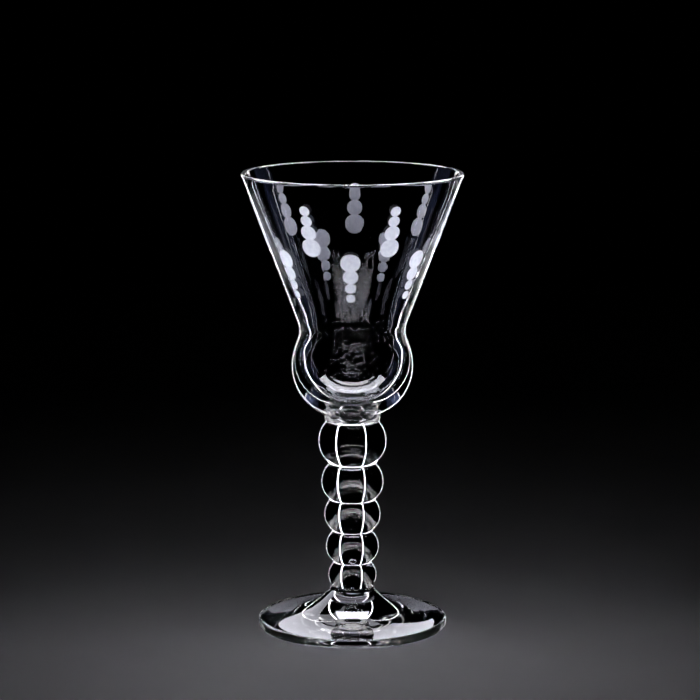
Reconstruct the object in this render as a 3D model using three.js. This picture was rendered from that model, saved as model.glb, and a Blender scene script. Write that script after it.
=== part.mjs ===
// Stemmed drinking glass: a flared, waisted bowl on a stem of graduated beads and a round foot.
// Every piece is a body of revolution about +Z, in millimetres, fused to the next at a flat round joint.
// The origin is the centre of the face that the foot stands on.
import * as THREE from "three";

// Facets around the axis, steps along each curve of an outline, and how near two points are the same one.
const SEGMENTS = 40;
const FOOT_STEPS = 6;
const COLLAR_STEPS = 4;
const BEAD_STEPS = 4;
const BOWL_STEPS = 5;
const SAME_POINT = 1e-4;

// Foot: a disc with a flared top. It stands on a flat ring, because its underside is drawn up a little.
const FOOT_RADIUS = 33.1;
const FOOT_EDGE_THICKNESS = 3.0;
const FOOT_HEIGHT = 12.7;
const FOOT_TOP_RADIUS = 7.5;
const FOOT_PAN_REACH = 14.5;
const FOOT_PAN_RISE = 0.4;
const FOOT_CONE_REACH = 6.5;
const FOOT_CONE_DROP = 6.1;
const FOOT_EDGE_ROUND = 1.1;
const STANDING_RING_WIDTH = 6.5;
const UNDERSIDE_RECESS = 0.8;

// Foot collar and bowl collar: the thin wafers of glass that join the stem to the foot and to the bowl.
const FOOT_COLLAR_THICKNESS = 1.2;
const BOWL_COLLAR_THICKNESS = 1.9;
const COLLAR_BULGE = 0.5;

// Stem beads: equator radius, height between the joints, and depth of the groove on top.
const BEAD_1_RADIUS = 11.97;
const BEAD_1_HEIGHT = 15.2;
const BEAD_1_GROOVE = 2.95;
const BEAD_2_RADIUS = 10.95;
const BEAD_2_HEIGHT = 13.0;
const BEAD_2_GROOVE = 2.95;
const BEAD_3_RADIUS = 9.95;
const BEAD_3_HEIGHT = 11.3;
const BEAD_3_GROOVE = 2.15;
const BEAD_4_RADIUS = 9.35;
const BEAD_4_HEIGHT = 11.2;
const BEAD_4_GROOVE = 2.65;
const BEAD_5_RADIUS = 8.5;
const BEAD_5_HEIGHT = 8.5;
const BEAD_5_GROOVE = 2.1;
const LOWEST_GROOVE = 1.4;

// The beads in the order that they stand on one another, from the foot up.
const BEADS = [
  { name: "stem_bead_5", radius: BEAD_5_RADIUS, height: BEAD_5_HEIGHT, groove: BEAD_5_GROOVE },
  { name: "stem_bead_4", radius: BEAD_4_RADIUS, height: BEAD_4_HEIGHT, groove: BEAD_4_GROOVE },
  { name: "stem_bead_3", radius: BEAD_3_RADIUS, height: BEAD_3_HEIGHT, groove: BEAD_3_GROOVE },
  { name: "stem_bead_2", radius: BEAD_2_RADIUS, height: BEAD_2_HEIGHT, groove: BEAD_2_GROOVE },
  { name: "stem_bead_1", radius: BEAD_1_RADIUS, height: BEAD_1_HEIGHT, groove: BEAD_1_GROOVE },
];

// Bowl, measured up from its joint: a bulb, a waist and a straight flare up to the rim.
const BOWL_HEIGHT = 85.0;
const BOWL_JOINT_RADIUS = 9.4;
const BULB_RADIUS = 21.2;
const BULB_EQUATOR = 17.6;
const WAIST_RADIUS = 18.45;
const WAIST_LEVEL = 29.3;
const WAIST_TO_FLARE = 2.0;
const RIM_RADIUS = 38.4;

// Bowl walls, outside to inside, and the levels of the hollow's own bulb and waist above the outside ones.
const LIP_WALL = 1.6;
const WAIST_WALL = 2.4;
const BULB_WALL = 2.7;
const BOWL_FLOOR_THICKNESS = 3.0;
const HOLLOW_EQUATOR_RISE = 1.6;
const HOLLOW_WAIST_RISE = 0.2;

// How far the smooth curves of the bowl run on straight before they turn.
const BULB_PULL = 6.5;
const WAIST_PULL = 2.2;
const HOLLOW_BULB_PULL = 6.0;
const HOLLOW_WAIST_PULL = 4.0;
const HOLLOW_FLARE_PULL = 46.0;
const HOLLOW_THROAT_PULL = 4.0;

// Clear glass, a very pale grey with a trace of violet.
const CLEAR_GLASS = { color: 0xe9eaf2, roughness: 0.03, metalness: 0.0, transparent: true, opacity: 0.35 };

// A named mesh turned about +Z from an outline of radius and height that starts and ends on the axis.
function turned(name, outline, level) {
  const geometry = new THREE.LatheGeometry(outline, SEGMENTS);
  geometry.rotateX(Math.PI / 2);
  const mesh = new THREE.Mesh(geometry, new THREE.MeshStandardMaterial(CLEAR_GLASS));
  mesh.name = name;
  mesh.position.z = level;
  return mesh;
}

// Points of a path, without its repeated ones.
function outlineOf(path, steps) {
  const points = path.getPoints(steps);
  return points.filter((point, index) => index === 0 || point.distanceTo(points[index - 1]) > SAME_POINT);
}

// Foot: standing ring, rounded edge, then a long concave flare up to the joint with its collar.
function foot() {
  const faceRadius = FOOT_RADIUS - FOOT_EDGE_ROUND;
  const recessRadius = faceRadius - STANDING_RING_WIDTH;
  const path = new THREE.Path();
  path.moveTo(0, UNDERSIDE_RECESS);
  path.quadraticCurveTo(recessRadius / 2, UNDERSIDE_RECESS, recessRadius, 0);
  path.lineTo(faceRadius, 0);
  path.quadraticCurveTo(FOOT_RADIUS, 0, FOOT_RADIUS, FOOT_EDGE_ROUND);
  path.lineTo(FOOT_RADIUS, FOOT_EDGE_THICKNESS - FOOT_EDGE_ROUND);
  path.quadraticCurveTo(FOOT_RADIUS, FOOT_EDGE_THICKNESS, faceRadius, FOOT_EDGE_THICKNESS);
  path.bezierCurveTo(
    faceRadius - FOOT_PAN_REACH,
    FOOT_EDGE_THICKNESS + FOOT_PAN_RISE,
    FOOT_TOP_RADIUS + FOOT_CONE_REACH,
    FOOT_HEIGHT - FOOT_CONE_DROP,
    FOOT_TOP_RADIUS,
    FOOT_HEIGHT,
  );
  path.lineTo(0, FOOT_HEIGHT);
  return outlineOf(path, FOOT_STEPS);
}

// Collar: a wafer with a rounded edge between two joints.
function collar(lowerRadius, upperRadius, thickness) {
  const bulge = Math.max(lowerRadius, upperRadius) + COLLAR_BULGE;
  const path = new THREE.Path();
  path.moveTo(0, 0);
  path.lineTo(lowerRadius, 0);
  path.bezierCurveTo(bulge, 0, bulge, thickness, upperRadius, thickness);
  path.lineTo(0, thickness);
  return outlineOf(path, COLLAR_STEPS);
}

// Bead: an ellipsoid cut off flat at its lower and upper joints.
function bead(radius, height, lowerRadius, upperRadius) {
  const lowerAngle = Math.acos(lowerRadius / radius);
  const upperAngle = Math.acos(upperRadius / radius);
  const halfAxis = height / (Math.sin(lowerAngle) + Math.sin(upperAngle));
  const equator = halfAxis * Math.sin(lowerAngle);
  const path = new THREE.Path();
  path.moveTo(0, 0);
  path.lineTo(lowerRadius, 0);
  path.absellipse(0, equator, radius, halfAxis, -lowerAngle, upperAngle);
  path.lineTo(0, height);
  return outlineOf(path, BEAD_STEPS);
}

// Bowl: up the outside from the joint to the lip, over the round lip, and down the hollow to its floor.
function bowl() {
  const lipRadius = LIP_WALL / 2;
  const lipCentre = new THREE.Vector2(RIM_RADIUS - lipRadius, BOWL_HEIGHT - lipRadius);
  const flareFoot = new THREE.Vector2(WAIST_RADIUS, WAIST_LEVEL + WAIST_TO_FLARE);
  const footToLip = lipCentre.clone().sub(flareFoot);
  const flareAngle = footToLip.angle() - Math.asin(lipRadius / footToLip.length());
  const flare = new THREE.Vector2(Math.cos(flareAngle), Math.sin(flareAngle));
  const outward = new THREE.Vector2(flare.y, -flare.x);
  const lipOuter = lipCentre.clone().addScaledVector(outward, lipRadius);
  const lipInner = lipCentre.clone().addScaledVector(outward, -lipRadius);

  const hollowWaist = new THREE.Vector2(WAIST_RADIUS - WAIST_WALL, WAIST_LEVEL + HOLLOW_WAIST_RISE);
  const hollowBulb = new THREE.Vector2(BULB_RADIUS - BULB_WALL, BULB_EQUATOR + HOLLOW_EQUATOR_RISE);
  const flareTurn = lipInner.clone().addScaledVector(flare, -HOLLOW_FLARE_PULL);

  const jointAngle = Math.acos(BOWL_JOINT_RADIUS / BULB_RADIUS);
  const bulbHalfAxis = BULB_EQUATOR / Math.sin(jointAngle);
  const waistEnd = flareFoot.clone().addScaledVector(flare, WAIST_TO_FLARE);

  const path = new THREE.Path();
  path.moveTo(0, 0);
  path.lineTo(BOWL_JOINT_RADIUS, 0);
  path.absellipse(0, BULB_EQUATOR, BULB_RADIUS, bulbHalfAxis, -jointAngle, 0);
  path.bezierCurveTo(
    BULB_RADIUS,
    BULB_EQUATOR + BULB_PULL,
    WAIST_RADIUS,
    WAIST_LEVEL - WAIST_PULL,
    WAIST_RADIUS,
    WAIST_LEVEL,
  );
  path.quadraticCurveTo(flareFoot.x, flareFoot.y, waistEnd.x, waistEnd.y);
  path.lineTo(lipOuter.x, lipOuter.y);
  path.absarc(lipCentre.x, lipCentre.y, lipRadius, flareAngle - Math.PI / 2, flareAngle + Math.PI / 2);
  path.bezierCurveTo(
    flareTurn.x,
    flareTurn.y,
    hollowWaist.x,
    hollowWaist.y + HOLLOW_THROAT_PULL,
    hollowWaist.x,
    hollowWaist.y,
  );
  path.bezierCurveTo(
    hollowWaist.x,
    hollowWaist.y - HOLLOW_WAIST_PULL,
    hollowBulb.x,
    hollowBulb.y + HOLLOW_BULB_PULL,
    hollowBulb.x,
    hollowBulb.y,
  );
  path.absellipse(0, hollowBulb.y, hollowBulb.x, hollowBulb.y - BOWL_FLOOR_THICKNESS, 0, -Math.PI / 2, true);
  return outlineOf(path, BOWL_STEPS);
}

// The pieces stand on one another, so each level is the top of the piece below.
const glass = new THREE.Group();
let level = 0;
function stack(name, outline, height) {
  glass.add(turned(name, outline, level));
  level += height;
}

stack("foot", foot(), FOOT_HEIGHT);

let jointRadius = BEADS[0].radius - LOWEST_GROOVE;
stack("foot_collar", collar(FOOT_TOP_RADIUS, jointRadius, FOOT_COLLAR_THICKNESS), FOOT_COLLAR_THICKNESS);

BEADS.forEach(({ name, radius, height, groove }, index) => {
  const above = BEADS[index + 1] ?? { radius };
  const upperRadius = Math.min(radius, above.radius) - groove;
  stack(name, bead(radius, height, jointRadius, upperRadius), height);
  jointRadius = upperRadius;
});

stack("bowl_collar", collar(jointRadius, BOWL_JOINT_RADIUS, BOWL_COLLAR_THICKNESS), BOWL_COLLAR_THICKNESS);
stack("bowl", bowl(), BOWL_HEIGHT);

export default glass;
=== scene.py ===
"""Dresses a stemmed drinking glass: turned clear glass, frosted dots cut round the bowl, and a dark studio.

Every piece is turned from a half section, in metres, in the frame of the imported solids, and replaces the
solid of the same name.
"""

import logging
import math
from dataclasses import dataclass, field
from enum import Enum, IntEnum
from functools import cached_property
from typing import Self

import bpy
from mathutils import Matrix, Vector


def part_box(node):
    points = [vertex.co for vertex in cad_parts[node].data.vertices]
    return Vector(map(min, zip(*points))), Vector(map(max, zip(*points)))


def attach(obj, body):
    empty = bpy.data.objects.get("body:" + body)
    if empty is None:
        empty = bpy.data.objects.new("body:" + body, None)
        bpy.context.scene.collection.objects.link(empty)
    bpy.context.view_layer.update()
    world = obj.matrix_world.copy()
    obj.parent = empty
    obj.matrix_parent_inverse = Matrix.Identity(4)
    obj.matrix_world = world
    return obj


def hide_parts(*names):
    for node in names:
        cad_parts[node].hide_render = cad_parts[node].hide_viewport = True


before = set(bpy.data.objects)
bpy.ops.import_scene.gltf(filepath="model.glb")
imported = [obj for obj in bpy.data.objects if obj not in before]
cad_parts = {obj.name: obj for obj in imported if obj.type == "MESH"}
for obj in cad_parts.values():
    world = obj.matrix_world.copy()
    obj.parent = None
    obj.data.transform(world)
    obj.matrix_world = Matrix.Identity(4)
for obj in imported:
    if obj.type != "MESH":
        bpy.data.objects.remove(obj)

log = logging.getLogger("stemmed_glass")

MM = 0.001
BODY = "root"

# Turning: steps round the axis, the gap at which turned points are one, and the angle of a crisp edge.
SPIN_STEPS = 192
WELD_GAP = 0.002 * MM
CRISP_ANGLE = math.radians(9.0)

# Radius of each joint, from the top of the foot up to the bottom of the bowl, and the pieces between them.
JOINT_RADII = (7.5 * MM, 7.1 * MM, 6.4 * MM, 6.7 * MM, 7.8 * MM, 8.0 * MM, 9.02 * MM, 9.4 * MM)
STEM_NODES = (
    "foot_collar",
    "stem_bead_5",
    "stem_bead_4",
    "stem_bead_3",
    "stem_bead_2",
    "stem_bead_1",
    "bowl_collar",
)

# A bend round one control point is a cubic bend whose two control points lie this far towards it.
CONTROL_SHARE = 2 / 3

# Uneven colours: how finely their clouds break up, and where along the clouds the two colours are pure.
MOTTLE_DETAIL = 3.0
MOTTLE_STOPS = (0.35, 0.65)

Pair = tuple[float, float]
Colour = tuple[float, float, float, float]


class Surface(IntEnum):
    """The material slots of a glass piece, in order."""

    CLEAR = 0
    JOINT = 1


class Receiver(Enum):
    """What a studio light falls on."""

    GLASS = "glass"
    BOWL = "bowl"
    COLLAR = "collar"
    STEM = "stem"
    ABOVE_FOOT = "above_foot"
    FOOT = "foot"
    FLOOR = "floor"


class Effect(Enum):
    """What shows a studio light: clear glass, its reflections alone, what is matt, or its inside alone."""

    SPARKLE = "sparkle"
    SHEEN = "sheen"
    WASH = "wash"
    GLOW = "glow"


def linear(hex_colour: str) -> Colour:
    """Turns an sRGB hex colour to linear light.

    Args:
        hex_colour: Six hex digits, such as "e9eaf2".

    Returns:
        Red, green, blue and an alpha of one.
    """
    channels = []
    for start in (0, 2, 4):
        value = int(hex_colour[start:start + 2], 16) / 255
        channels.append(value / 12.92 if value <= 0.04045 else ((value + 0.055) / 1.055) ** 2.4)
    return (*channels, 1.0)


def add_node(tree: bpy.types.NodeTree, kind: str, **sockets: object) -> bpy.types.Node:
    """Adds a node, and sets or links its inputs.

    Args:
        tree: The node tree that gets the node.
        kind: Blender's name of the node type.
        **sockets: Input values by socket name, with _ for each space. An output socket is linked instead.

    Returns:
        The new node.
    """
    node = tree.nodes.new(kind)
    for name, value in sockets.items():
        socket = node.inputs[name.replace("_", " ")]
        if isinstance(value, bpy.types.NodeSocket):
            tree.links.new(value, socket)
        else:
            socket.default_value = value
    return node


def blank_material(name: str) -> bpy.types.Material:
    """Makes a material with an empty node tree.

    Args:
        name: Name of the material.

    Returns:
        The new material.
    """
    material = bpy.data.materials.new(name)
    material.use_nodes = True
    material.node_tree.nodes.clear()
    return material


def mottled(tree: bpy.types.NodeTree, size_mm: float, shade: str, tint: str) -> bpy.types.NodeSocket:
    """Adds an uneven colour that clouds between two hex colours.

    Args:
        tree: The node tree that gets the nodes.
        size_mm: Size of the clouds.
        shade: The darker colour.
        tint: The lighter colour.

    Returns:
        The colour's output socket.
    """
    place = add_node(tree, "ShaderNodeTexCoord")
    clouds = add_node(
        tree,
        "ShaderNodeTexNoise",
        Vector=place.outputs["Object"],
        Scale=1 / (size_mm * MM),
        Detail=MOTTLE_DETAIL,
    )
    ramp = add_node(tree, "ShaderNodeValToRGB", Fac=clouds.outputs["Fac"])
    for stop, colour, spot in zip(ramp.color_ramp.elements, (shade, tint), MOTTLE_STOPS):
        stop.color = linear(colour)
        stop.position = spot
    return ramp.outputs["Color"]


def uneven(
    tree: bpy.types.NodeTree, size_mm: float, height_mm: float, detail: float, strength: float
) -> bpy.types.NodeSocket:
    """Adds a surface that isn't quite smooth.

    Args:
        tree: The node tree that gets the nodes.
        size_mm: Size of the bumps.
        height_mm: Height of the bumps.
        detail: How finely the bumps break up.
        strength: Share of the bumps that shows.

    Returns:
        The normal's output socket.
    """
    place = add_node(tree, "ShaderNodeTexCoord")
    bumps = add_node(
        tree,
        "ShaderNodeTexNoise",
        Vector=place.outputs["Object"],
        Scale=1 / (size_mm * MM),
        Detail=detail,
    )
    bump = add_node(
        tree,
        "ShaderNodeBump",
        Height=bumps.outputs["Fac"],
        Distance=height_mm * MM,
        Strength=strength,
    )
    return bump.outputs["Normal"]


@dataclass(frozen=True)
class ClearGlass:
    """Fire-polished soda-lime glass: clear, with a trace of violet, and rippled a little by hand working."""

    name: str = "fire_polished_soda_lime_glass"
    tint: str = "fafaff"
    ior: float = 1.52
    roughness: float = 0.0
    ripple_mm: float = 11.0
    ripple_height_mm: float = 0.003
    ripple_detail: float = 1.0
    ripple_strength: float = 1.0

    def make(self) -> bpy.types.Material:
        """Builds the material.

        Returns:
            A clear material whose surface undulates by the ripple's height.
        """
        material = blank_material(self.name)
        tree = material.node_tree
        ripple = uneven(
            tree, self.ripple_mm, self.ripple_height_mm, self.ripple_detail, self.ripple_strength
        )
        glass = add_node(
            tree,
            "ShaderNodeBsdfPrincipled",
            Base_Color=linear(self.tint),
            Roughness=self.roughness,
            IOR=self.ior,
            Transmission_Weight=1.0,
            Normal=ripple,
        )
        add_node(tree, "ShaderNodeOutputMaterial", Surface=glass.outputs["BSDF"])
        return material


@dataclass(frozen=True)
class FusedJoint:
    """The plane where two hot pieces of glass flowed together: glass on both sides, so no light bends."""

    name: str = "fused_glass_joint"

    def make(self) -> bpy.types.Material:
        """Builds the material.

        Returns:
            A material that light passes straight through.
        """
        material = blank_material(self.name)
        tree = material.node_tree
        joint = add_node(
            tree,
            "ShaderNodeBsdfPrincipled",
            Base_Color=linear("ffffff"),
            Roughness=0.0,
            IOR=1.0,
            Transmission_Weight=1.0,
        )
        add_node(tree, "ShaderNodeOutputMaterial", Surface=joint.outputs["BSDF"])
        return material


@dataclass(frozen=True)
class GroundGlass:
    """Glass ground matt by a wheel and grit: it scatters light white and lets a milky part through."""

    name: str = "wheel_ground_glass"
    tint: str = "e2e5f4"
    ior: float = 1.52
    roughness: float = 0.55
    transmission: float = 0.55
    shade: str = "d0d3e6"
    mottle_mm: float = 1.4
    grit_mm: float = 0.35
    grit_height_mm: float = 0.02
    grit_detail: float = 2.0
    grit_strength: float = 0.6

    def make(self) -> bpy.types.Material:
        """Builds the material.

        Returns:
            A matt white material with the grain of the grit, drawn coarser than it is so that it shows.
        """
        material = blank_material(self.name)
        tree = material.node_tree
        grit = uneven(tree, self.grit_mm, self.grit_height_mm, self.grit_detail, self.grit_strength)
        ground = add_node(
            tree,
            "ShaderNodeBsdfPrincipled",
            Base_Color=mottled(tree, self.mottle_mm, self.shade, self.tint),
            Roughness=self.roughness,
            IOR=self.ior,
            Transmission_Weight=self.transmission,
            Normal=grit,
        )
        add_node(tree, "ShaderNodeOutputMaterial", Surface=ground.outputs["BSDF"])
        return material


@dataclass(frozen=True)
class PaleFloor:
    """Matt paint rolled on a smooth board: pale grey, faintly uneven, with no shine."""

    name: str = "matt_painted_board"
    colour: str = "cbcbce"
    shade: str = "c5c5c9"
    roughness: float = 0.9
    mottle_mm: float = 60.0

    def make(self) -> bpy.types.Material:
        """Builds the material.

        Returns:
            A matt pale grey material, a little darker in soft patches where the roller left less paint.
        """
        material = blank_material(self.name)
        tree = material.node_tree
        paint = add_node(
            tree,
            "ShaderNodeBsdfPrincipled",
            Base_Color=mottled(tree, self.mottle_mm, self.shade, self.colour),
            Roughness=self.roughness,
        )
        add_node(tree, "ShaderNodeOutputMaterial", Surface=paint.outputs["BSDF"])
        return material


@dataclass
class Outline:
    """The half section of a turned piece: pairs of radius and height, from the axis out and back to it."""

    points: list[Pair] = field(default_factory=list)

    def to(self, radius: float, height: float) -> Self:
        """Adds a corner."""
        self.points.append((radius, height))
        return self

    def bend(self, first: Pair, second: Pair, end: Pair, steps: int) -> Self:
        """Adds a smooth cubic bend from the last point.

        Args:
            first: The point that the bend leaves towards.
            second: The point that the bend arrives from.
            end: Where the bend ends.
            steps: How many straight pieces stand for it.

        Returns:
            The outline, so that calls can follow one another.
        """
        start = self.points[-1]
        for step in range(1, steps + 1):
            t = step / steps
            weights = ((1 - t) ** 3, 3 * (1 - t) ** 2 * t, 3 * (1 - t) * t * t, t ** 3)
            corners = (start, first, second, end)
            self.points.append(tuple(sum(w * c[axis] for w, c in zip(weights, corners)) for axis in (0, 1)))
        return self

    def turn(self, control: Pair, end: Pair, steps: int) -> Self:
        """Adds a quadratic bend from the last point.

        Args:
            control: The one point that the bend turns round.
            end: Where the bend ends.
            steps: How many straight pieces stand for it.

        Returns:
            The outline, so that calls can follow one another.
        """
        start = self.points[-1]
        first = tuple(s + (c - s) * CONTROL_SHARE for s, c in zip(start, control))
        second = tuple(e + (c - e) * CONTROL_SHARE for e, c in zip(end, control))
        return self.bend(first, second, end, steps)

    def sweep(self, centre: Pair, radii: Pair, start: float, end: float, steps: int) -> Self:
        """Adds an arc of an ellipse.

        Args:
            centre: The middle of the ellipse.
            radii: Its half axes along the radius and along the height.
            start: Angle of the first point, in radians from straight out.
            end: Angle of the last point.
            steps: How many straight pieces stand for it.

        Returns:
            The outline, so that calls can follow one another.
        """
        for step in range(steps + 1):
            angle = start + (end - start) * step / steps
            out = centre[0] + radii[0] * math.cos(angle)
            up = centre[1] + radii[1] * math.sin(angle)
            self.points.append((out, up))
        return self

    def cleaned(self) -> list[Pair]:
        """Leaves out points that repeat the one before.

        Returns:
            The points that are kept, in order.
        """
        kept = [self.points[0]]
        for point in self.points[1:]:
            if math.dist(point, kept[-1]) > WELD_GAP:
                kept.append(point)
        return kept


def spin_piece(name: str, outline: Outline) -> bpy.types.Object:
    """Models a turned piece: a point is extruded along the half section, and the line is spun round.

    Args:
        name: Name of the piece.
        outline: Its half section, which starts and ends on the axis.

    Returns:
        A closed mesh object at the origin.
    """
    points = outline.cleaned()
    bpy.ops.object.select_all(action="DESELECT")
    bpy.ops.mesh.primitive_plane_add(size=2 * MM)
    piece = bpy.context.object
    piece.name = name
    piece.data.name = name
    bpy.ops.object.mode_set(mode="EDIT")
    bpy.ops.mesh.select_all(action="SELECT")
    bpy.ops.mesh.merge(type="CENTER")
    bpy.ops.transform.translate(value=(points[0][0], 0.0, points[0][1]))
    for here, there in zip(points, points[1:]):
        step = (there[0] - here[0], 0.0, there[1] - here[1])
        bpy.ops.mesh.extrude_region_move(TRANSFORM_OT_translate={"value": step})
    bpy.ops.mesh.select_all(action="SELECT")
    bpy.ops.mesh.spin(steps=SPIN_STEPS, angle=math.tau, center=(0.0, 0.0, 0.0), axis=(0.0, 0.0, 1.0))
    bpy.ops.mesh.select_all(action="SELECT")
    bpy.ops.mesh.remove_doubles(threshold=WELD_GAP)
    bpy.ops.mesh.normals_make_consistent(inside=False)
    bpy.ops.object.mode_set(mode="OBJECT")
    return piece


@dataclass
class GlassPiece:
    """A turned piece of the glass that stands for one solid of the frame."""

    node: str

    @cached_property
    def box(self) -> tuple[Vector, Vector]:
        """Lowest and highest corner of the solid that the piece stands for."""
        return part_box(self.node)

    @property
    def levels(self) -> Pair:
        """Lowest and highest height of the piece."""
        return self.box[0].z, self.box[1].z

    @property
    def reach(self) -> float:
        """Largest radius of the piece."""
        return self.box[1].x

    def outline(self) -> Outline:
        """Returns the half section."""
        raise NotImplementedError

    def joints(self) -> tuple[float, ...]:
        """Heights of the flat faces that are fused to a neighbour."""
        return self.levels

    def build(self) -> bpy.types.Object:
        """Models the piece.

        Returns:
            The turned mesh.
        """
        return spin_piece(self.node + "_glass", self.outline())

    def dress(self, piece: bpy.types.Object, glass: bpy.types.Material, joint: bpy.types.Material) -> None:
        """Gives the piece its materials and ties it to the frame.

        Args:
            piece: The mesh that build made.
            glass: Material of what shows.
            joint: Material of the flat faces that are fused to a neighbour.
        """
        piece.data.materials.append(glass)
        piece.data.materials.append(joint)
        heights = self.joints()
        for polygon in piece.data.polygons:
            level = polygon.center.z
            if any(abs(level - height) < WELD_GAP for height in heights):
                polygon.material_index = Surface.JOINT
        bpy.ops.object.shade_smooth_by_angle(angle=CRISP_ANGLE)
        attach(piece, BODY)
        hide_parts(self.node)


@dataclass
class Foot(GlassPiece):
    """The round foot: a standing ring, a rounded edge, a nearly flat pan and a cone up to the stem."""

    node: str = "foot"
    edge_thickness: float = 3.0 * MM
    edge_round: float = 1.1 * MM
    top_radius: float = JOINT_RADII[0]
    pan_reach: float = 14.5 * MM
    pan_rise: float = 0.4 * MM
    cone_reach: float = 6.5 * MM
    cone_drop: float = 6.1 * MM
    ring_width: float = 6.5 * MM
    recess: float = 0.8 * MM
    steps: int = 24

    def joints(self) -> tuple[float, ...]:
        """Only the top is fused to a neighbour."""
        return (self.levels[1],)

    def outline(self) -> Outline:
        """Draws the half section.

        Returns:
            The underside, the edge, the pan and the cone.
        """
        radius = self.reach
        base, top = self.levels
        face = radius - self.edge_round
        recess_radius = face - self.ring_width
        edge = base + self.edge_thickness
        return (
            Outline()
            .to(0.0, base + self.recess)
            .turn((recess_radius / 2, base + self.recess), (recess_radius, base), self.steps)
            .to(face, base)
            .turn((radius, base), (radius, base + self.edge_round), self.steps)
            .to(radius, edge - self.edge_round)
            .turn((radius, edge), (face, edge), self.steps)
            .bend(
                (face - self.pan_reach, edge + self.pan_rise),
                (self.top_radius + self.cone_reach, top - self.cone_drop),
                (self.top_radius, top),
                2 * self.steps,
            )
            .to(0.0, top)
        )


@dataclass
class Collar(GlassPiece):
    """A thin wafer of glass with a rounded edge between two pieces."""

    lower_radius: float = 9.0 * MM
    upper_radius: float = 9.0 * MM
    bulge: float = 0.5 * MM
    steps: int = 24

    def outline(self) -> Outline:
        """Draws the half section.

        Returns:
            The flat bottom, the rounded edge and the flat top.
        """
        base, top = self.levels
        reach = max(self.lower_radius, self.upper_radius) + self.bulge
        return (
            Outline()
            .to(0.0, base)
            .to(self.lower_radius, base)
            .bend((reach, base), (reach, top), (self.upper_radius, top), self.steps)
            .to(0.0, top)
        )


@dataclass
class Bead(GlassPiece):
    """A solid bead of the stem: an ellipsoid cut off at its joints, with a fillet in each groove."""

    lower_radius: float = 8.0 * MM
    upper_radius: float = 8.0 * MM
    fillet: float = 0.25 * MM
    fillet_angle: float = math.radians(5.0)
    fillet_steps: int = 8
    steps: int = 48

    def outline(self) -> Outline:
        """Draws the half section.

        Returns:
            The flat bottom, a fillet, the bulge, a fillet and the flat top.
        """
        radius = self.reach
        base, top = self.levels
        lower = math.acos(self.lower_radius / radius)
        upper = math.acos(self.upper_radius / radius)
        half_axis = (top - base) / (math.sin(lower) + math.sin(upper))
        centre = (0.0, base + half_axis * math.sin(lower))
        radii = (radius, half_axis)
        start = self.fillet_angle - lower
        end = upper - self.fillet_angle
        return (
            Outline()
            .to(0.0, base)
            .to(self.lower_radius + self.fillet, base)
            .turn(
                self.corner(centre, radii, start, self.lower_radius),
                self.on(centre, radii, start),
                self.fillet_steps,
            )
            .sweep(centre, radii, start, end, self.steps)
            .turn(
                self.corner(centre, radii, end, self.upper_radius),
                (self.upper_radius + self.fillet, top),
                self.fillet_steps,
            )
            .to(0.0, top)
        )

    def on(self, centre: Pair, radii: Pair, angle: float) -> Pair:
        """Returns the point of the bead's ellipse at an angle."""
        return centre[0] + radii[0] * math.cos(angle), centre[1] + radii[1] * math.sin(angle)

    def corner(self, centre: Pair, radii: Pair, angle: float, joint_radius: float) -> Pair:
        """Finds where the ellipse's tangent meets the upright wall of the fillet.

        Args:
            centre: Middle of the ellipse.
            radii: Its half axes.
            angle: Where the tangent touches.
            joint_radius: Radius of the joint, before the fillet.

        Returns:
            The control point that a fillet turns round.
        """
        x, z = self.on(centre, radii, angle)
        wall = joint_radius + self.fillet
        slope = -radii[1] * math.cos(angle) / (radii[0] * math.sin(angle))
        return wall, z + slope * (wall - x)


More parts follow.
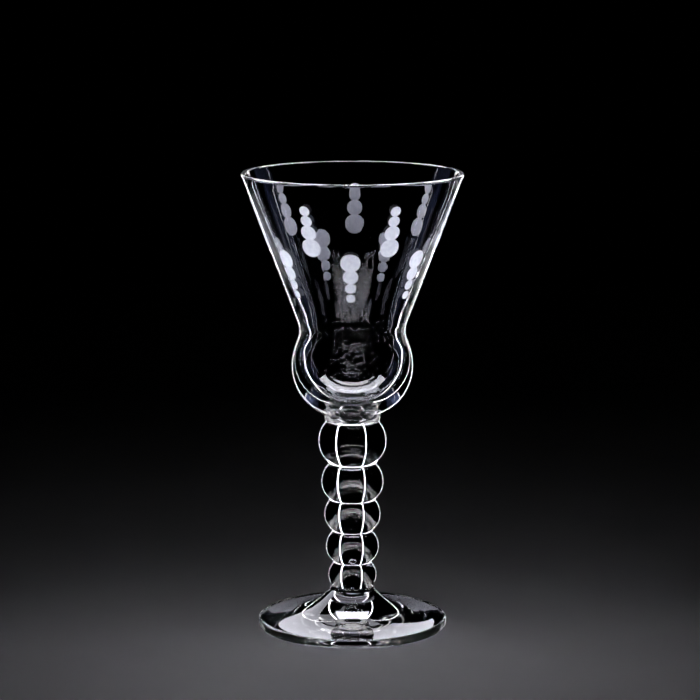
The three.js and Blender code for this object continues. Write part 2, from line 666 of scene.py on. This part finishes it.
@dataclass
class Bowl(GlassPiece):
    """The bowl: a bulb, a waist and a straight flare, a round lip, and a hollow of the same form."""

    node: str = "bowl"
    joint_radius: float = JOINT_RADII[-1]
    bulb_radius: float = 21.2 * MM
    bulb_equator: float = 17.6 * MM
    waist_radius: float = 18.45 * MM
    waist_level: float = 29.3 * MM
    waist_to_flare: float = 2.0 * MM
    lip_wall: float = 1.6 * MM
    waist_wall: float = 2.4 * MM
    bulb_wall: float = 2.7 * MM
    floor_thickness: float = 3.0 * MM
    hollow_equator_rise: float = 1.6 * MM
    hollow_waist_rise: float = 0.2 * MM
    bulb_pull: float = 6.5 * MM
    waist_pull: float = 2.2 * MM
    hollow_bulb_pull: float = 6.0 * MM
    hollow_waist_pull: float = 4.0 * MM
    hollow_flare_pull: float = 46.0 * MM
    hollow_throat_pull: float = 4.0 * MM
    steps: int = 24

    def joints(self) -> tuple[float, ...]:
        """Only the bottom is fused to a neighbour."""
        return (self.levels[0],)

    def flare_line(self) -> tuple[Vector, Vector, Vector]:
        """Works out the straight outside of the flare.

        Returns:
            The flare's foot, the direction that it rises in, and the centre of the round lip.
        """
        base, top = self.levels
        lip = self.lip_wall / 2
        centre = Vector((self.reach - lip, top - lip))
        start = Vector((self.waist_radius, base + self.waist_level + self.waist_to_flare))
        reach = centre - start
        angle = math.atan2(reach.y, reach.x) - math.asin(lip / reach.length)
        return start, Vector((math.cos(angle), math.sin(angle))), centre

    def outline(self) -> Outline:
        """Draws the half section.

        Returns:
            The outside from the joint up to the lip, and the hollow down to its floor.
        """
        base = self.levels[0]
        lip = self.lip_wall / 2
        start, rise, lip_centre = self.flare_line()
        outward = Vector((rise.y, -rise.x))
        lip_outer = lip_centre + outward * lip
        lip_inner = lip_centre - outward * lip
        lip_angle = math.atan2(outward.y, outward.x)
        flare_turn = lip_inner - rise * self.hollow_flare_pull
        waist = base + self.waist_level
        equator = base + self.bulb_equator
        joint_angle = math.acos(self.joint_radius / self.bulb_radius)
        half_axis = self.bulb_equator / math.sin(joint_angle)
        hollow_waist = (self.waist_radius - self.waist_wall, waist + self.hollow_waist_rise)
        hollow_bulb = (self.bulb_radius - self.bulb_wall, equator + self.hollow_equator_rise)
        hollow_depth = hollow_bulb[1] - base - self.floor_thickness
        return (
            Outline()
            .to(0.0, base)
            .sweep((0.0, equator), (self.bulb_radius, half_axis), -joint_angle, 0.0, self.steps)
            .bend(
                (self.bulb_radius, equator + self.bulb_pull),
                (self.waist_radius, waist - self.waist_pull),
                (self.waist_radius, waist),
                self.steps,
            )
            .turn(tuple(start), tuple(start + rise * self.waist_to_flare), self.steps // 2)
            .to(*lip_outer)
            .sweep(tuple(lip_centre), (lip, lip), lip_angle, lip_angle + math.pi, self.steps)
            .bend(
                tuple(flare_turn),
                (hollow_waist[0], hollow_waist[1] + self.hollow_throat_pull),
                hollow_waist,
                2 * self.steps,
            )
            .bend(
                (hollow_waist[0], hollow_waist[1] - self.hollow_waist_pull),
                (hollow_bulb[0], hollow_bulb[1] + self.hollow_bulb_pull),
                hollow_bulb,
                self.steps,
            )
            .sweep((0.0, hollow_bulb[1]), (hollow_bulb[0], hollow_depth), 0.0, -math.pi / 2, self.steps)
        )


@dataclass(frozen=True)
class DotString:
    """A string of frosted dots: its angle from the front, and the height and width of each dot."""

    azimuth: float
    dots: tuple[Pair, ...]


@dataclass
class FrostedDots:
    """The shallow dots that a small wheel ground into the outside of the flare, in two rows of strings.

    The strings of the upper row hang between those of the lower one.
    """

    repeats: int = 7
    turn: float = math.radians(-1.5)
    depth_share: float = 0.094
    segments: int = 40
    rings: int = 20
    strings: tuple[DotString, ...] = (
        DotString(
            0.0,
            (
                (132.4 * MM, 6.8 * MM),
                (127.5 * MM, 5.3 * MM),
                (123.4 * MM, 3.8 * MM),
                (119.8 * MM, 3.15 * MM),
            ),
        ),
        DotString(
            math.pi / 7,
            (
                (150.4 * MM, 3.7 * MM),
                (146.9 * MM, 4.1 * MM),
                (142.8 * MM, 5.5 * MM),
                (137.5 * MM, 6.8 * MM),
            ),
        ),
    )

    def cut(self, piece: bpy.types.Object, bowl: Bowl, ground: bpy.types.Material) -> None:
        """Grinds the dots into the bowl. Neighbours overlap, so every second dot is cut in a first pass.

        Args:
            piece: The bowl's mesh.
            bowl: The bowl's sizes.
            ground: Material of the ground faces.
        """
        for first in (0, 1):
            rings = []
            for string in self.strings:
                for height, width in string.dots[first::2]:
                    rings.append(self.wheel_ring(bowl, string.azimuth, height, width / 2))
            bpy.ops.object.select_all(action="DESELECT")
            for ring in rings:
                ring.select_set(True)
            bpy.context.view_layer.objects.active = rings[0]
            bpy.ops.object.join()
            wheels = rings[0]
            wheels.data.materials.append(ground)
            bpy.ops.object.select_all(action="DESELECT")
            piece.select_set(True)
            bpy.context.view_layer.objects.active = piece
            cut = piece.modifiers.new("grind", "BOOLEAN")
            cut.operation = "DIFFERENCE"
            cut.solver = "EXACT"
            cut.material_mode = "TRANSFER"
            cut.object = wheels
            bpy.ops.object.modifier_apply(modifier=cut.name)
            bpy.data.objects.remove(wheels)

    def wheel_ring(self, bowl: Bowl, azimuth: float, height: float, radius: float) -> bpy.types.Object:
        """Models the wheel's bite for one dot, and copies it round the bowl.

        Args:
            bowl: The bowl's sizes.
            azimuth: Angle of the first dot from the front.
            height: Height of the dot's centre.
            radius: Half the dot's width.

        Returns:
            A mesh of separate flattened balls, whose inner sides are the dished dots.
        """
        start, rise, _ = bowl.flare_line()
        outward = Vector((rise.y, -rise.x))
        on_wall = start + rise * ((height - start.y) / rise.y)
        depth = self.depth_share * radius
        thickness = 2 * depth
        centre = on_wall + outward * depth
        sag = radius ** 2 * outward.x / (2 * on_wall.x)
        upright = radius / math.sqrt(1 - (depth / thickness) ** 2)
        sideways = radius / math.sqrt(1 - ((depth + sag) / thickness) ** 2)
        angle = azimuth + self.turn
        bpy.ops.object.select_all(action="DESELECT")
        bpy.ops.mesh.primitive_uv_sphere_add(
            segments=self.segments,
            ring_count=self.rings,
            radius=1.0,
            location=(centre.x * math.sin(angle), -centre.x * math.cos(angle), centre.y),
            rotation=(math.atan2(rise.x, rise.y), 0.0, angle),
            scale=(sideways, thickness, upright),
        )
        ring = bpy.context.object
        bpy.ops.object.transform_apply(location=True, rotation=True, scale=True)
        bpy.ops.object.mode_set(mode="EDIT")
        bpy.ops.mesh.select_all(action="SELECT")
        bpy.ops.mesh.spin(
            steps=self.repeats - 1,
            dupli=True,
            angle=math.tau * (self.repeats - 1) / self.repeats,
            center=(0.0, 0.0, 0.0),
            axis=(0.0, 0.0, 1.0),
        )
        bpy.ops.object.mode_set(mode="OBJECT")
        return ring


@dataclass(frozen=True)
class Softbox:
    """A plain rectangular studio light that faces the glass: angles in degrees, lengths in metres."""

    name: str
    azimuth: float
    elevation: float
    distance: float
    width: float
    height: float
    radiance: float
    colour: str = "ffffff"
    target: float = 0.08
    effect: Effect = Effect.SPARKLE
    receiver: Receiver = Receiver.GLASS
    spread: float = math.pi

    def place(self, receivers: dict[Receiver, bpy.types.Collection]) -> None:
        """Hangs the light. Azimuth 0 is behind the camera, and 90 is on its right, in degrees.

        Args:
            receivers: The collections of objects that lights may be limited to.
        """
        azimuth = math.radians(self.azimuth)
        elevation = math.radians(self.elevation)
        away = Vector((
            math.sin(azimuth) * math.cos(elevation),
            -math.cos(azimuth) * math.cos(elevation),
            math.sin(elevation),
        ))
        lamp = bpy.data.lights.new(self.name, "AREA")
        lamp.shape = "RECTANGLE"
        lamp.size = self.width
        lamp.size_y = self.height
        lamp.energy = self.radiance * math.pi * self.width * self.height
        lamp.color = linear(self.colour)[:3]
        light = bpy.data.objects.new(self.name, lamp)
        bpy.context.scene.collection.objects.link(light)
        light.location = Vector((0.0, 0.0, self.target)) + away * self.distance
        light.rotation_euler = away.to_track_quat("Z", "Y").to_euler()
        lamp.spread = self.spread
        light.visible_camera = False
        light.visible_diffuse = self.effect is Effect.WASH
        light.visible_glossy = self.effect in (Effect.SPARKLE, Effect.SHEEN)
        light.visible_transmission = self.effect in (Effect.SPARKLE, Effect.GLOW)
        light.light_linking.receiver_collection = receivers[self.receiver]


@dataclass
class Studio:
    """The plain floor, the soft lights and the camera at the photograph's viewing angle."""

    floor_size: float = 1.6
    distance: float = 920.5 * MM
    height: float = 261.65 * MM
    pitch: float = math.radians(10.08)
    side_step: float = -0.85 * MM
    focal_px: float = 2691.0
    image_px: float = 700.0
    sensor_mm: float = 36.0
    bounces: int = 32
    glossy_bounces: int = 16
    diffuse_bounces: int = 4
    # Each light's name, azimuth, elevation, distance, width, height and radiance.
    softboxes: tuple[Softbox, ...] = (
        Softbox("back_strip_left", -163.5, 0.0, 1.0, 0.009, 2.8, 14.0),
        Softbox("back_strip_right", 160.0, 0.0, 1.0, 0.018, 2.8, 14.0),
        Softbox(
            "outline_left",
            -157.0,
            0.0,
            1.0,
            0.12,
            2.0,
            3.0,
            effect=Effect.SHEEN,
            receiver=Receiver.ABOVE_FOOT,
        ),
        Softbox(
            "outline_right",
            157.0,
            0.0,
            1.0,
            0.12,
            2.0,
            3.0,
            effect=Effect.SHEEN,
            receiver=Receiver.ABOVE_FOOT,
        ),
        Softbox("overhead_stem", 180.0, 62.0, 0.9, 1.8, 0.8, 6.0, receiver=Receiver.STEM),
        Softbox("overhead_collar", 180.0, 58.0, 0.9, 1.8, 1.0, 14.0, receiver=Receiver.COLLAR),
        Softbox("overhead_bowl", 180.0, 62.0, 0.9, 1.8, 0.8, 10.0, receiver=Receiver.BOWL),
        Softbox(
            "glow_left",
            -120.0,
            10.0,
            1.0,
            0.5,
            0.5,
            0.2,
            "a9b9f4",
            effect=Effect.GLOW,
            receiver=Receiver.BOWL,
        ),
        Softbox(
            "glow_right",
            120.0,
            10.0,
            1.0,
            0.5,
            0.5,
            0.2,
            "a9b9f4",
            effect=Effect.GLOW,
            receiver=Receiver.BOWL,
        ),
        Softbox("side_strip_left", -108.0, 0.0, 1.1, 0.02, 2.4, 5.0, effect=Effect.GLOW),
        Softbox("side_strip_right", 108.0, 0.0, 1.1, 0.02, 2.4, 5.0, effect=Effect.GLOW),
        Softbox(
            "foot_glow",
            -150.0,
            29.0,
            1.0,
            1.4,
            0.43,
            3.4,
            "f2f2ff",
            effect=Effect.SHEEN,
            receiver=Receiver.FOOT,
        ),
        Softbox("foot_top", -170.0, 66.0, 0.9, 0.6, 0.8, 2.4, "f2f2ff", receiver=Receiver.FOOT),
        Softbox(
            "foot_heart",
            180.0,
            34.0,
            1.0,
            0.5,
            0.7,
            1.4,
            "f2f2ff",
            effect=Effect.GLOW,
            receiver=Receiver.FOOT,
        ),
        Softbox("wash_left", -68.0, 8.0, 1.0, 0.5, 0.5, 36.0, effect=Effect.WASH, target=0.14),
        Softbox("wash_right", 68.0, 8.0, 1.0, 0.5, 0.5, 36.0, effect=Effect.WASH, target=0.14),
        Softbox(
            "floor_pool",
            0.0,
            89.0,
            0.6,
            0.1,
            0.1,
            0.15,
            effect=Effect.WASH,
            receiver=Receiver.FLOOR,
            spread=math.radians(60.0),
        ),
    )

    def build(self, glass: list[bpy.types.Object]) -> None:
        """Makes the camera, the floor, the lights and a black surround.

        Args:
            glass: Every piece of the glass, from the foot up to the bowl.
        """
        self.make_camera()
        lit = {
            Receiver.GLASS: glass,
            Receiver.BOWL: glass[-1:],
            Receiver.COLLAR: glass[-2:-1],
            Receiver.STEM: glass[1:-2],
            Receiver.ABOVE_FOOT: glass[1:],
            Receiver.FOOT: glass[:1],
            Receiver.FLOOR: [self.make_floor()],
        }
        receivers = {}
        for receiver, things in lit.items():
            receivers[receiver] = bpy.data.collections.new("lit_" + receiver.value)
            for thing in things:
                receivers[receiver].objects.link(thing)
        for softbox in self.softboxes:
            softbox.place(receivers)
        world = bpy.data.worlds.new("dark_studio")
        world.use_nodes = True
        world.node_tree.nodes["Background"].inputs["Color"].default_value = linear("000000")
        scene = bpy.context.scene
        scene.world = world
        scene.view_settings.view_transform = "Standard"
        scene.cycles.max_bounces = self.bounces
        scene.cycles.transmission_bounces = self.bounces
        scene.cycles.glossy_bounces = self.glossy_bounces
        scene.cycles.diffuse_bounces = self.diffuse_bounces
        scene.cycles.use_denoising = True

    def make_camera(self) -> None:
        """Sets up the camera that the photograph's perspective was fitted with.

        It stands in front of the glass, a little above it, and looks down on it.
        """
        lens = bpy.data.cameras.new("camera")
        lens.sensor_width = self.sensor_mm
        lens.lens = self.focal_px / self.image_px * self.sensor_mm
        camera = bpy.data.objects.new("camera", lens)
        bpy.context.scene.collection.objects.link(camera)
        camera.location = (self.side_step, -self.distance, self.height)
        camera.rotation_euler = (math.pi / 2 - self.pitch, 0.0, 0.0)
        bpy.context.scene.camera = camera

    def make_floor(self) -> bpy.types.Object:
        """Lays the plain pale floor under the glass, where clear glass doesn't show it.

        Returns:
            The floor.
        """
        bpy.ops.object.select_all(action="DESELECT")
        bpy.ops.mesh.primitive_plane_add(size=self.floor_size)
        floor = bpy.context.object
        floor.name = "floor"
        floor.data.materials.append(PaleFloor().make())
        floor.visible_glossy = False
        floor.visible_transmission = False
        return floor


def main() -> None:
    """Builds the glass, piece by piece from the foot up, then the studio.
    """
    logging.basicConfig(level=logging.INFO, format="%(name)s: %(message)s")
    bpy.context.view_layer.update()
    glass = ClearGlass().make()
    wavy = ClearGlass("hand_pressed_soda_lime_glass", ripple_mm=16.0, ripple_height_mm=0.05).make()
    joint = FusedJoint().make()
    ground = GroundGlass().make()
    bowl = Bowl()
    stem = []
    for node, lower_radius, upper_radius in zip(STEM_NODES, JOINT_RADII, JOINT_RADII[1:]):
        kind = Collar if node.endswith("collar") else Bead
        stem.append(kind(node, lower_radius, upper_radius))
    pieces: list[GlassPiece] = [Foot(), *stem, bowl]
    made = []
    for piece in pieces:
        mesh = piece.build()
        piece.dress(mesh, wavy if piece.node == "foot" else glass, joint)
        made.append(mesh)
        if piece is bowl:
            FrostedDots().cut(mesh, bowl, ground)
            bpy.ops.object.shade_smooth_by_angle(angle=CRISP_ANGLE)
        log.info("%s: %d faces", mesh.name, len(mesh.data.polygons))
    Studio().build(made)


if __name__ == "__main__":
    main()
